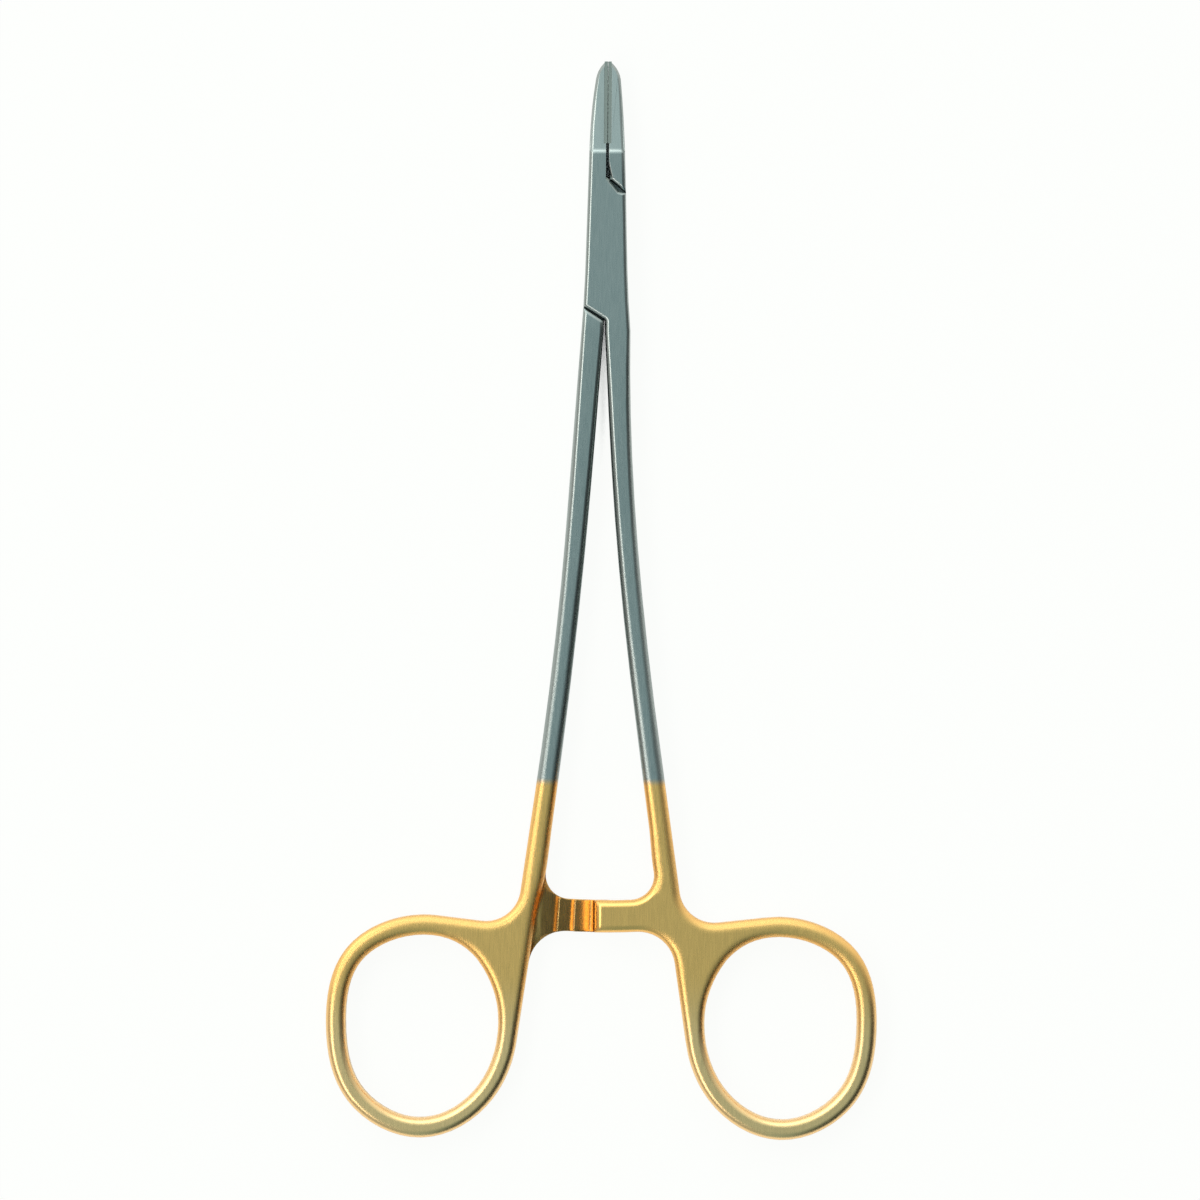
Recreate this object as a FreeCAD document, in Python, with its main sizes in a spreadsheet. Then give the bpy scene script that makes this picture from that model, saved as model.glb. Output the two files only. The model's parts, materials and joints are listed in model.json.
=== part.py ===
import FreeCAD, Part
import Sketcher
import math
import os

# Needle holder, closed, lying on its back
# Origin on the hinge axis at the back face of the box lock, +Y to the jaw tips, +Z to the front.
# Lengths are in millimetres and angles in degrees. Stations are distances from the hinge axis
# along Y, and "outer" and "inner" are distances from the centre plane.
SIZES = [
    ("lock_thick", 4.4, "box lock, back face to front face"),
    ("plate_thick", 1.3, "front and back plate of the box"),
    ("slot_clear", 0.05, "slot wall to tongue, each side"),
    ("pin_dia", 1.8, "hinge pin"),
    ("pin_clear", 0.03, "hinge pin to tongue, on the radius"),
    ("open_angle", 40.0, "full opening of the hinge"),
    ("stop_extra", 5.0, "opening that the box still clears past the full opening"),
    ("lock_half", 2.46, "half width of the box at the hinge"),
    ("throat_station", 10.0, "throat, below the hinge"),
    ("throat_half", 2.95, "half width across both shanks at the throat"),
    ("throat_gap", 0.18, "gap between the shanks at the throat"),
    ("throat_shift", 0.2, "gap's offset towards the tongue half at the throat"),
    ("upper_edge_in", 8.8, "upper plate edge at the jaw gap, above the hinge"),
    ("upper_edge_out", 6.66, "upper plate edge at the outside, above the hinge"),
    ("lower_edge_in", 8.63, "lower plate edge at the shank gap, below the hinge"),
    ("lower_edge_out", 6.96, "lower plate edge at the outside, below the hinge"),
    ("upper_notch", 1.42, "corner in the upper plate edge, from the centre plane"),
    ("upper_notch_station", 6.9, "that corner, above the hinge"),
    ("upper_gap", 0.1, "groove along the upper plate edge, at the outside"),
    ("lower_gap", 0.13, "groove along the lower plate edge"),
    ("tongue_lap", 0.6, "tongue drawn on into the shank and the jaw that carry it"),
    ("lock_bevel", 0.3, "bevel round the box and the jaws"),
    ("jaw_root_station", 11.6, "start of the tapered jaws, above the hinge"),
    ("jaw_root_half", 2.16, "half width of the jaws at their root"),
    ("jaw_mid_station", 16.0, "middle of the jaws, above the hinge"),
    ("jaw_mid_half", 1.94, "half width of the jaws at their middle"),
    ("jaw_nose_station", 20.5, "start of the rounded tip, above the hinge"),
    ("left_nose_half", 1.40, "width of the left jaw at its nose"),
    ("right_nose_half", 1.58, "width of the right jaw at its nose"),
    ("tip_station", 22.6, "jaw tip, above the hinge"),
    ("nose_full", 0.6, "fullness of the rounded tip, as a share of its width and of its height"),
    ("tip_thick", 2.0, "thickness of the jaws at the tip"),
    ("tip_fall", 0.14, "fall of the tip across a carbide insert"),
    ("ridge_wide", 0.5, "sloped ridge across the jaw root, along Y"),
    ("ridge_drop", 0.22, "drop of that ridge on each face"),
    ("seam_shift", 0.05, "meeting line of the jaws, from the hinge axis towards the right jaw"),
    ("jaw_gap", 0.33, "gap between the steel jaws"),
    ("insert_gap", 0.1, "gap between the carbide inserts"),
    ("insert_thick", 0.38, "carbide insert"),
    ("insert_station", 12.7, "lower end of the inserts, above the hinge"),
    ("relief_station", 10.5, "start of the relief at the foot of the right jaw, above the hinge"),
    ("relief_in", 0.12, "relief of that jaw's meeting side at the shoulder"),
    ("relief_bevel", 0.5, "bevel of the relieved edge at the shoulder"),
    ("relief_fade", 0.04, "bevel of the relieved edge where it starts"),
    ("shoulder_drop", 0.44, "shoulder of the right jaw at the jaw gap, below the upper plate edge"),
    ("upper_shank_station", 20.0, "first shank station, below the hinge"),
    ("mid_shank_station", 40.0, "second shank station, below the hinge"),
    ("low_shank_station", 60.0, "third shank station, below the hinge"),
    ("end_shank_station", 70.0, "end of the free shank, below the hinge"),
    ("upper_shank_wide", 2.66, "shank width at the first station"),
    ("mid_shank_wide", 2.50, "shank width at the second station"),
    ("low_shank_wide", 2.54, "shank width at the third station"),
    ("end_shank_wide", 2.64, "shank width at the fourth station"),
    ("upper_shank_thick", 4.1, "shank thickness at the first station"),
    ("mid_shank_thick", 3.7, "shank thickness at the second station"),
    ("upper_bevel", 0.42, "shank bevel at the first station"),
    ("mid_bevel", 0.5, "shank bevel at the second station"),
    ("handle_thick", 3.8, "thickness of the lower shanks and finger rings"),
    ("handle_bevel", 0.55, "bevel of the lower shanks and finger rings"),
    ("box_upper_run", 1.73, "box half's shank centre at the first station"),
    ("box_mid_run", 3.15, "box half's shank centre at the second station"),
    ("box_low_run", 5.57, "box half's shank centre at the third station"),
    ("box_end_run", 6.95, "box half's shank centre at the fourth station"),
    ("tongue_upper_run", 2.34, "tongue half's shank centre at the first station"),
    ("tongue_mid_run", 3.92, "tongue half's shank centre at the second station"),
    ("tongue_low_run", 6.13, "tongue half's shank centre at the third station"),
    ("tongue_end_run", 7.46, "tongue half's shank centre at the fourth station"),
    ("web_out_run", 1.68, "corner of shank and ring top, outside the shank's end"),
    ("web_out_drop", 11.75, "that corner, below the shank's end"),
    ("neck_run", 0.92, "inner side of the shank above the bar, outside the shank's end"),
    ("neck_drop", 6.5, "that place, below the shank's end"),
    ("web_in", 8.0, "inner side of the shank in the middle of the bar, from the centre plane"),
    ("web_out_round", 4.2, "radius between shank and ring top"),
    ("web_in_round", 4.4, "radius between ratchet bar and ring"),
    ("bar_top_round", 2.9, "radius between shank and ratchet bar"),
    ("ring_out", 21.65, "centre of the finger ring, from the centre plane"),
    ("ring_drop", 24.0, "centre of the finger ring, below the shank's end"),
    ("ring_half_wide", 9.2, "half width of the finger hole"),
    ("ring_half_tall", 11.05, "half height of the finger hole"),
    ("ring_band", 2.4, "width of the ring's band"),
    ("ring_full_top_out", 1.07, "finger hole against an ellipse, upper outer quarter"),
    ("ring_full_top_in", 1.025, "finger hole against an ellipse, upper inner quarter"),
    ("ring_full_low_out", 1.03, "finger hole against an ellipse, lower outer quarter"),
    ("ring_full_low_in", 0.985, "finger hole against an ellipse, lower inner quarter"),
    ("bar_drop", 8.65, "near edge of the ratchet bars, below the shank's end"),
    ("bar_deep", 3.9, "ratchet bars, near edge to far edge"),
    ("bar_reach", 0.9, "ratchet bars past the centre plane"),
    ("bar_lap", 0.8, "ratchet bars drawn on into their shanks"),
    ("bar_clear", 0.05, "tooth crests to the plane between the bars"),
    ("tooth_pitch", 1.95, "ratchet teeth, along the bar"),
    ("tooth_deep", 0.7, "depth of the ratchet teeth"),
    ("tooth_lead", 0.55, "first tooth crest past the centre plane"),
    ("tooth_count", 4, "ratchet teeth on each bar"),
]

# Sizes that follow from the ones above
FORMULAS = [
    ("lock_mid", "lock_thick / 2", "middle plane of the instrument"),
    ("slot_high", "lock_thick - plate_thick", "upper wall of the passage through the box"),
    ("slot_tall", "slot_high - plate_thick", "height of that passage"),
    ("tongue_low", "plate_thick + slot_clear", "back of the tongue"),
    ("tongue_high", "slot_high - slot_clear", "front of the tongue"),
    ("tip_drop", "(lock_thick - tip_thick) / 2", "drop of the jaws at the tip on each face"),
    ("taper_wide", "throat_half * 4", "width over which the jaws are tapered"),
    ("jaw_in", "jaw_gap / 2", "steel meeting face, from the meeting line"),
    ("insert_in", "insert_gap / 2", "carbide meeting face, from the meeting line"),
    ("insert_out", "insert_in + insert_thick", "seat of the carbide insert, from the meeting line"),
    ("seat_end", "tip_station - tip_fall", "end of the insert's seat, above the hinge"),
    ("relief_foot", "upper_edge_in - shoulder_drop", "foot of the right jaw, above the hinge"),
    ("relief_low", "relief_bevel - relief_foot", "lower section of the relief's bevel"),
    ("relief_high", "-relief_station", "upper section of the relief's bevel"),
    ("box_throat_in", "throat_gap / 2 - throat_shift", "box half's inner side at the throat"),
    ("tongue_throat_in", "-throat_gap / 2 - throat_shift", "tongue half's inner side there"),
    ("handle_low", "lock_mid - handle_thick / 2", "back of the handles"),
    ("handle_high", "lock_mid + handle_thick / 2", "front of the handles"),
    ("bar_near", "end_shank_station + bar_drop", "near edge of the bars, radius about the hinge"),
    ("bar_far", "bar_near + bar_deep", "far edge of the bars, radius about the hinge"),
    ("bar_mid", "bar_near + bar_deep / 2", "middle of the bars, radius about the hinge"),
    ("front_bar_low", "lock_mid + bar_clear", "tooth crests of the front bar"),
    ("back_bar_high", "lock_mid - bar_clear", "tooth crests of the back bar"),
    ("teeth_near", "bar_near - bar_deep / 2", "start of the cuts between the teeth"),
    ("teeth_run", "bar_deep * 2", "length of those cuts"),
    ("teeth_angle", "(tooth_count - 1) * tooth_pitch / bar_mid * 180 / pi", "first tooth to last"),
    ("neck_station", "end_shank_station + neck_drop", "neck above the bar, below the hinge"),
    ("web_out_station", "end_shank_station + web_out_drop", "ring's outer corner, below the hinge"),
    ("ring_station", "end_shank_station + ring_drop", "finger ring's centre, below the hinge"),
]

# A distance in millimetres that counts as nothing, and the steps that narrow a search to less
CLOSE = 1e-3
HALVINGS = 60

# The box half's shank is on the right, the tongue half's on the left
BOX, TONGUE = 1, -1

doc = FreeCAD.newDocument("needle_holder")
sheet = doc.addObject("Spreadsheet::Sheet", "sizes")


class Sizes:
    """The sheet's values by name."""

    def __init__(self):
        rows = [(name, str(size), note) for name, size, note in SIZES]
        rows += [(name, "=" + formula, note) for name, formula, note in FORMULAS]
        for row, (name, content, note) in enumerate(rows, start=1):
            sheet.set(f"A{row}", name)
            sheet.set(f"B{row}", content)
            sheet.setAlias(f"B{row}", name)
            sheet.set(f"C{row}", note)
        doc.recompute()
        for name, _, _ in rows:
            setattr(self, name, float(sheet.get(name)))


at = Sizes()


# Plan geometry

def vector(point):
    return FreeCAD.Vector(point[0], point[1], 0)


def line(start, end):
    return Part.LineSegment(vector(start), vector(end))


def chain(points):
    return [line(start, end) for start, end in zip(points, points[1:])]


def loop(points):
    return chain(list(points) + [points[0]])


def arc(start, through, end):
    return Part.Arc(vector(start), vector(through), vector(end))


def spline(points):
    curve = Part.BSplineCurve()
    curve.interpolate(Points=[vector(point) for point in points])
    return curve


def bisect(measure, low, high):
    """Where the measure changes its sign between low and high."""
    rising = measure(high) > measure(low)
    for _ in range(HALVINGS):
        middle = (low + high) / 2
        if (measure(middle) > 0) == rising:
            high = middle
        else:
            low = middle
    return (low + high) / 2


def stretch(curve, low, high):
    """A copy of the curve between two of its parameters."""
    piece = curve.copy()
    piece.segment(low, high)
    return piece


def start_of(curve):
    point = curve.value(curve.FirstParameter)
    return point.x, point.y


def end_of(curve):
    point = curve.value(curve.LastParameter)
    return point.x, point.y


def turned(point, angle):
    """The point turned clockwise about the hinge."""
    cosine, sine = math.cos(math.radians(angle)), math.sin(math.radians(angle))
    return point[0] * cosine + point[1] * sine, point[1] * cosine - point[0] * sine


def moved(edge, distance):
    """The straight edge moved to its left by a distance."""
    (x1, y1), (x2, y2) = edge
    length = math.hypot(x2 - x1, y2 - y1)
    dx, dy = -(y2 - y1) / length * distance, (x2 - x1) / length * distance
    return (x1 + dx, y1 + dy), (x2 + dx, y2 + dy)


def meet(one, two):
    """Where two straight edges cross when drawn on without end."""
    (x1, y1), (x2, y2) = one
    (x3, y3), (x4, y4) = two
    spread = (x1 - x2) * (y3 - y4) - (y1 - y2) * (x3 - x4)
    first = x1 * y2 - y1 * x2
    second = x3 * y4 - y3 * x4
    x = (first * (x3 - x4) - (x1 - x2) * second) / spread
    y = (first * (y3 - y4) - (y1 - y2) * second) / spread
    return x, y


def upright(x):
    return (x, 0.0), (x, 1.0)


def level(y):
    return (0.0, y), (1.0, y)


# Bodies and their features

def new_body(name):
    body = doc.addObject("PartDesign::Body", name)
    body.Label = name
    return body


def sketch_on(body, name, role, geometry, shift=None):
    """A sketch on one of the body's own planes, moved along that plane's normal."""
    sketch = body.newObject("Sketcher::SketchObject", name)
    planes = [item for item in body.Origin.OriginFeatures if item.Role == role]
    sketch.AttachmentSupport = [(planes[0], "")]
    sketch.MapMode = "FlatFace"
    if shift:
        sketch.setExpression("AttachmentOffset.Base.z", "sizes." + shift)
    sketch.addGeometry(geometry, False)
    return sketch


def pad(body, name, geometry, high, low=None):
    """Material up to one of the sheet's heights, from the back face or from another height."""
    feature = body.newObject("PartDesign::Pad", name)
    feature.Profile = sketch_on(body, name + "_plan", "XY_Plane", geometry, low)
    feature.setExpression("Length", f"sizes.{high} - sizes.{low}" if low else "sizes." + high)
    doc.recompute()
    return feature


def cut(body, name, sketch, length, reverse=False, both_ways=False):
    """Material taken away; a cut that removes nothing is an error."""
    before = body.Shape.Volume
    feature = body.newObject("PartDesign::Pocket", name)
    feature.Profile = sketch
    feature.setExpression("Length", "sizes." + length)
    feature.Reversed = reverse
    if both_ways:
        feature.SideType = "Symmetric"
    doc.recompute()
    if body.Shape.Volume > before - CLOSE:
        raise RuntimeError(name + " removed nothing")
    return feature


def pin_hole(body, name, radius):
    """A hole for the hinge pin through the whole lock."""
    circle = Part.Circle(FreeCAD.Vector(0, 0, 0), FreeCAD.Vector(0, 0, 1), at.pin_dia / 2)
    sketch = sketch_on(body, name + "_plan", "XY_Plane", [circle])
    sketch.addConstraint(Sketcher.Constraint("Coincident", 0, 3, -1, 1))
    size = sketch.addConstraint(Sketcher.Constraint("Radius", 0, at.pin_dia / 2))
    sketch.setExpression(f"Constraints[{size}]", radius)
    cut(body, name, sketch, "lock_thick", reverse=True)


def dress(body, kind, name, size_name, test):
    """A fillet or chamfer on the edges that pass the test, bound to the sheet."""
    base = body.Tip
    names = [f"Edge{index}" for index, edge in enumerate(base.Shape.Edges, start=1) if test(edge)]
    feature = body.newObject("PartDesign::" + kind, name)
    feature.Base = (base, names)
    feature.setExpression("Radius" if kind == "Fillet" else "Size", "sizes." + size_name)
    doc.recompute()
    return feature


def spots(edge):
    low, high = edge.ParameterRange
    return [edge.valueAt(low), edge.valueAt((low + high) / 2), edge.valueAt(high)]


def near(value, target):
    return abs(value - target) < CLOSE


# Outlines of the box lock and the jaws

def side_curve(side, nose_half):
    """The side from the throat to the nose of a jaw."""
    return spline([
        (side * at.throat_half, -at.throat_station),
        (side * at.lock_half, 0.0),
        (side * at.jaw_root_half, at.jaw_root_station),
        (side * at.jaw_mid_half, at.jaw_mid_station),
        (side * nose_half, at.jaw_nose_station),
    ])


def side_piece(curve, low, high):
    """The stretch of a side between two distances along Y."""
    first, last = curve.FirstParameter, curve.LastParameter
    bottom = bisect(lambda u: curve.value(u).y - low, first, last)
    top = bisect(lambda u: curve.value(u).y - high, first, last)
    return stretch(curve, bottom, top)


def left_side(low, high):
    return side_piece(side_curve(-1, at.left_nose_half), low, high)


def right_side(low, high):
    return side_piece(side_curve(1, at.right_nose_half), low, high)


def beside_seam(side, distance):
    """A distance from the jaws' meeting line, measured from the hinge axis."""
    return at.seam_shift + side * distance


def nose(side, nose_half):
    """The rounded tip, from the insert seat to the side."""
    seat = (beside_seam(side, at.insert_out), at.seat_end)
    end = (side * nose_half, at.jaw_nose_station)
    x = seat[0] + (end[0] - seat[0]) * at.nose_full
    y = end[1] + (seat[1] - end[1]) * at.nose_full
    return arc(seat, (x, y), end)


def jaw_inside(side):
    """Meeting face of a jaw beside the insert, and the seat of the insert up to the tip."""
    return [
        (beside_seam(side, at.jaw_in), at.insert_station),
        (beside_seam(side, at.insert_out), at.insert_station),
        (beside_seam(side, at.insert_out), at.seat_end),
    ]


def upper_plate_edge():
    """Upper edge of the plates: steep from the jaw gap, then nearly level to the outside."""
    outside = end_of(right_side(-at.throat_station, at.upper_edge_out))
    notch = (at.upper_notch, at.upper_notch_station)
    return [outside, notch, (beside_seam(-1, at.jaw_in), at.upper_edge_in)]


def upper_shoulder():
    """Shoulder of the right jaw, clear of the upper plate edge."""
    outside = start_of(right_side(at.upper_edge_out + at.upper_gap, at.jaw_nose_station))
    return [(beside_seam(1, at.jaw_in) + at.relief_in, at.relief_foot), outside]


def lower_plate_edge():
    """Lower edge of the plates, slanted from the outside to the gap between the shanks."""
    outside = start_of(left_side(-at.lower_edge_out, at.jaw_nose_station))
    return [outside, (at.box_throat_in, -at.lower_edge_in)]


def lower_shoulder():
    """Shoulder of the left shank, clear of the lower plate edge."""
    slant = moved(lower_plate_edge(), -at.lower_gap)
    outside_y = meet(slant, upright(lower_plate_edge()[0][0]))[1]
    outside = end_of(left_side(-at.throat_station, outside_y))
    return [outside, meet(slant, upright(at.tongue_throat_in))]


def tongue_left():
    return lower_shoulder()[0], upper_shoulder()[0]


def tongue_right():
    return upper_shoulder()[1], lower_shoulder()[1]


def tongue_plan():
    """The tongue, drawn a little into the shank and the jaw that carry it."""
    low_left, high_left = tongue_left()
    high_right, low_right = tongue_right()
    return loop([
        low_left,
        high_left,
        (high_left[0], high_left[1] + at.tongue_lap),
        (high_right[0] - at.tongue_lap, high_right[1] + at.tongue_lap),
        high_right,
        low_right,
        (low_right[0], low_right[1] - at.tongue_lap),
        (low_left[0] + at.tongue_lap, low_left[1] - at.tongue_lap),
    ])


def slot_plan():
    """The passage through the box, from the closed tongue to the open one.

    It leaves two solid wedges between the plates, at the upper left and the lower right.
    """
    swing = at.open_angle + at.stop_extra
    left = moved(tongue_left(), at.slot_clear)
    right = moved(tongue_right(), at.slot_clear)
    left_open = [turned(point, swing) for point in left]
    right_open = [turned(point, swing) for point in right]
    top, bottom = level(at.jaw_root_station), level(-at.throat_station)
    east, west = upright(at.throat_half * 2), upright(-at.throat_half * 2)
    return loop([
        meet(left, left_open),
        meet(left, top),
        meet(top, east),
        meet(east, right_open),
        meet(right, right_open),
        meet(right, bottom),
        meet(bottom, west),
        meet(west, left_open),
    ])


# Box lock and jaws

def taper_plan():
    """What the jaws lose on both faces, seen from the side: a short ridge, then a long slope."""
    ridge_end = at.jaw_root_station + at.ridge_wide
    beyond = at.tip_station + at.lock_thick
    profiles = []
    for face, outward in ((at.lock_thick, 1), (0.0, -1)):
        profiles += loop([
            (at.jaw_root_station, face),
            (ridge_end, face - outward * at.ridge_drop),
            (at.tip_station, face - outward * at.tip_drop),
            (beyond, face - outward * at.tip_drop),
            (beyond, face + outward * at.lock_thick),
            (at.jaw_root_station, face + outward * at.lock_thick),
        ])
    return profiles


def face_drop(y):
    """How far the jaw's faces lie inside the box's faces."""
    ridge_end = at.jaw_root_station + at.ridge_wide
    if y <= at.jaw_root_station:
        return 0.0
    if y <= ridge_end:
        return at.ridge_drop * (y - at.jaw_root_station) / at.ridge_wide
    share = (y - ridge_end) / (at.tip_station - ridge_end)
    return at.ridge_drop + (at.tip_drop - at.ridge_drop) * share


def on_a_face(point):
    return near(abs(point.z - at.lock_mid), at.lock_mid - face_drop(point.y))


def lock_rim(edge):
    """Edges round the faces of the box and the jaws, apart from the meeting faces."""
    places = spots(edge)
    if not all(on_a_face(place) for place in places):
        return False
    if near(places[0].y, places[2].y):
        return False
    meeting = all(abs(place.x) < beside_seam(1, at.insert_out) + CLOSE for place in places)
    return not (meeting and places[1].y > 0)


def taper(body):
    sketch = sketch_on(body, body.Label + "_taper_plan", "YZ_Plane", taper_plan())
    cut(body, body.Label + "_taper", sketch, "taper_wide", both_ways=True)


def relief(body, name, face, inward):
    """The bevel that opens the foot of the right jaw's meeting side, wide at the shoulder."""
    over = at.relief_bevel
    sketches = []
    for section_name, x, bevel in (
        ("relief_low", beside_seam(1, at.jaw_in) + at.relief_in, at.relief_bevel),
        ("relief_high", beside_seam(1, at.jaw_in), at.relief_fade),
    ):
        corner = loop([
            (x - over, face - inward * over),
            (x + bevel + over, face - inward * over),
            (x - over, face + inward * (bevel + over)),
        ])
        sketches.append(sketch_on(body, f"{name}_{section_name}", "XZ_Plane", corner, section_name))
    bevel_cut = body.newObject("PartDesign::SubtractiveLoft", name)
    bevel_cut.Profile = sketches[0]
    bevel_cut.Sections = sketches[1:]
    doc.recompute()


def box_lock():
    """The box half's lock: both plates, the two wedges and the left jaw."""
    right = right_side(-at.throat_station, at.upper_edge_out)
    left = left_side(-at.lower_edge_out, at.jaw_nose_station)
    inside = upper_plate_edge()[-1:] + jaw_inside(-1)
    body = new_body("box_lock")
    outline = [line((at.box_throat_in, -at.throat_station), start_of(right)), right]
    outline += chain(upper_plate_edge()) + chain(inside) + [nose(-1, at.left_nose_half), left]
    outline += chain(lower_plate_edge() + [(at.box_throat_in, -at.throat_station)])
    pad(body, "box_blank", outline, "lock_thick")
    taper(body)
    dress(body, "Chamfer", "box_lock_rim", "lock_bevel", lock_rim)
    passage = sketch_on(body, "box_slot_plan", "XY_Plane", slot_plan(), "plate_thick")
    cut(body, "box_slot", passage, "slot_tall", reverse=True)
    pin_hole(body, "box_pin_hole", "sizes.pin_dia / 2")
    return body


def tongue_lock():
    """The tongue half's lock: the shank's shoulder, the tongue and the right jaw."""
    body = new_body("tongue_lock")
    side = left_side(-at.throat_station, lower_shoulder()[0][1])
    throat = (at.tongue_throat_in, -at.throat_station)
    outline = [line(throat, start_of(side)), side] + chain(lower_shoulder() + [throat])
    pad(body, "shoulder_blank", outline, "lock_thick")
    pad(body, "tongue_blank", tongue_plan(), "tongue_high", "tongue_low")
    right = right_side(upper_shoulder()[1][1], at.jaw_nose_station)
    relieved = (beside_seam(1, at.jaw_in), at.relief_station)
    inside = [upper_shoulder()[0], relieved] + jaw_inside(1)
    outline = chain(inside) + [nose(1, at.right_nose_half), right] + chain(upper_shoulder()[::-1])
    pad(body, "right_jaw_blank", outline, "lock_thick")
    taper(body)
    dress(body, "Chamfer", "tongue_lock_rim", "lock_bevel", lock_rim)
    relief(body, "front_relief", at.lock_thick, -1)
    relief(body, "back_relief", 0.0, 1)
    pin_hole(body, "tongue_pin_hole", "sizes.pin_dia / 2 + sizes.pin_clear")
    return body


# Free shanks

def section(inner, outer, thick, bevel):
    """Section of a shank: flat faces and flat sides with a bevel at each corner."""
    low, high = at.lock_mid - thick / 2, at.lock_mid + thick / 2
    return loop([
        (inner + bevel, low),
        (outer - bevel, low),
        (outer, low + bevel),
        (outer, high - bevel),
        (outer - bevel, high),
        (inner + bevel, high),
        (inner, high - bevel),
        (inner, low + bevel),
    ])


def shank_rows(half):
    """Station, inner side, outer side, thickness and bevel of each section of a shank."""
    places = (
        ("upper_shank_station", at.upper_shank_wide, at.upper_shank_thick, at.upper_bevel),
        ("mid_shank_station", at.mid_shank_wide, at.mid_shank_thick, at.mid_bevel),
        ("low_shank_station", at.low_shank_wide, at.handle_thick, at.handle_bevel),
        ("end_shank_station", at.end_shank_wide, at.handle_thick, at.handle_bevel),
    )
    runs = {
        BOX: (at.box_upper_run, at.box_mid_run, at.box_low_run, at.box_end_run),
        TONGUE: (at.tongue_upper_run, at.tongue_mid_run, at.tongue_low_run, at.tongue_end_run),
    }
    throat_in = {BOX: at.box_throat_in, TONGUE: -at.tongue_throat_in}
    rows = [("throat_station", throat_in[half], at.throat_half, at.lock_thick, at.lock_bevel)]
    for (station, wide, thick, bevel), run in zip(places, runs[half]):
        rows.append((station, run - wide / 2, run + wide / 2, thick, bevel))
    return rows


def shank(half, name):
    """The free shank, drawn through its sections from the throat to the handle."""
    body = new_body(name)
    sketches = []
    for station, inner, outer, thick, bevel in shank_rows(half):
        profile = section(inner, outer, thick, bevel)
        if half == TONGUE:
            profile = section(-outer, -inner, thick, bevel)
        sketches.append(sketch_on(body, f"{name}_{station}", "XZ_Plane", profile, station))
    loft = body.newObject("PartDesign::AdditiveLoft", name + "_loft")
    loft.Profile = sketches[0]
    loft.Sections = sketches[1:]
    doc.recompute()
    return body


# Finger rings, webs and ratchet bars

def ring_points(half, band):
    """Eight points round a finger ring, from its upper inner quarter over the top."""
    quarters = (
        (135, at.ring_full_top_in), (90, 1.0), (45, at.ring_full_top_out), (0, 1.0),
        (-45, at.ring_full_low_out), (-90, 1.0), (-135, at.ring_full_low_in), (180, 1.0),
    )
    points = []
    for angle, fullness in quarters:
        cosine, sine = math.cos(math.radians(angle)), math.sin(math.radians(angle))
        reach = fullness / math.hypot(cosine / at.ring_half_wide, sine / at.ring_half_tall) + band
        points.append((half * (at.ring_out + reach * cosine), reach * sine - at.ring_station))
    return points


def ring_curve(half, band):
    curve = Part.BSplineCurve()
    points = [vector(point) for point in ring_points(half, band)]
    curve.interpolate(Points=points, PeriodicFlag=True)
    return curve


def touch(curve, corner, low, high):
    """Parameter at which a straight line from the corner touches the curve."""
    def lean(u):
        reach = curve.value(u) - vector(corner)
        along = curve.tangent(u)[0]
        return reach.x * along.y - reach.y * along.x
    return bisect(lean, low, high)


def outer_corner(half):
    """Corner of the shank's outer side and the top of the ring, before it is rounded."""
    outer = shank_rows(half)[-1][2]
    return half * (outer + at.web_out_run), -at.web_out_station


def inner_side(half, start, lead):
    """The shank's inner side, up from the bar over the neck to the end of the free shank."""
    low_inner, end_inner = [row[1] for row in shank_rows(half)[-2:]]
    slope = (end_inner - low_inner) / (at.end_shank_station - at.low_shank_station)
    neck = (half * (end_inner + at.neck_run), -at.neck_station)
    curve = Part.BSplineCurve()
    curve.interpolate(
        Points=[vector(start), vector(neck), vector((half * end_inner, -at.end_shank_station))],
        InitialTangent=vector((start[0] - lead[0], start[1] - lead[1])),
        FinalTangent=vector((-half * slope, 1.0)),
    )
    return curve


def handle_plan(half):
    """Outline of the lower shank and its ring, drawn as one."""
    outside, inside = outer_corner(half), (half * at.web_in, -at.bar_mid)
    outside_top = (half * shank_rows(half)[-1][2], -at.end_shank_station)
    curve = ring_curve(half, at.ring_band)
    knots = curve.getKnots()
    top = touch(curve, outside, knots[0], knots[2])
    bottom = touch(curve, inside, knots[6], knots[8])
    rim = stretch(curve, top, bottom)
    side = inner_side(half, inside, end_of(rim))
    return [
        line(outside_top, outside),
        line(outside, start_of(rim)),
        rim,
        line(end_of(rim), inside),
        side,
        line(end_of(side), outside_top),
    ]


def bar_plan(half):
    """A ratchet bar, bent about the hinge, from inside its shank to past the centre plane."""
    root, reach = half * (at.web_in + at.bar_lap), -half * at.bar_reach
    corners = []
    for radius in (at.bar_near, at.bar_far):
        row = [(x, -math.sqrt(radius ** 2 - x ** 2)) for x in (root, (root + reach) / 2, reach)]
        corners.append(row)
    near_row, far_row = corners
    return [
        arc(*near_row),
        line(near_row[2], far_row[2]),
        arc(far_row[2], far_row[1], far_row[0]),
        line(far_row[0], near_row[0]),
    ]


def stands_at(edge, corner):
    """Whether the edge stands upright on a corner of the plan."""
    return all(near(place.x, corner[0]) and near(place.y, corner[1]) for place in spots(edge))


def bar_corner(half, radius):
    """Test for the upright edge that one side of a bar makes with its shank."""
    def test(edge):
        foot = spots(edge)[0]
        inward = near(math.hypot(foot.x, foot.y), radius) and half * foot.x > at.web_in / 2
        return inward and stands_at(edge, (foot.x, foot.y))
    return test


def handle_rim(edge):
    """Edges round the front and back faces of a handle, apart from its cut upper end."""
    places = spots(edge)
    flat = any(all(near(place.z, z) for place in places) for z in (at.handle_low, at.handle_high))
    return flat and not all(near(place.y, -at.end_shank_station) for place in places)


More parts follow.
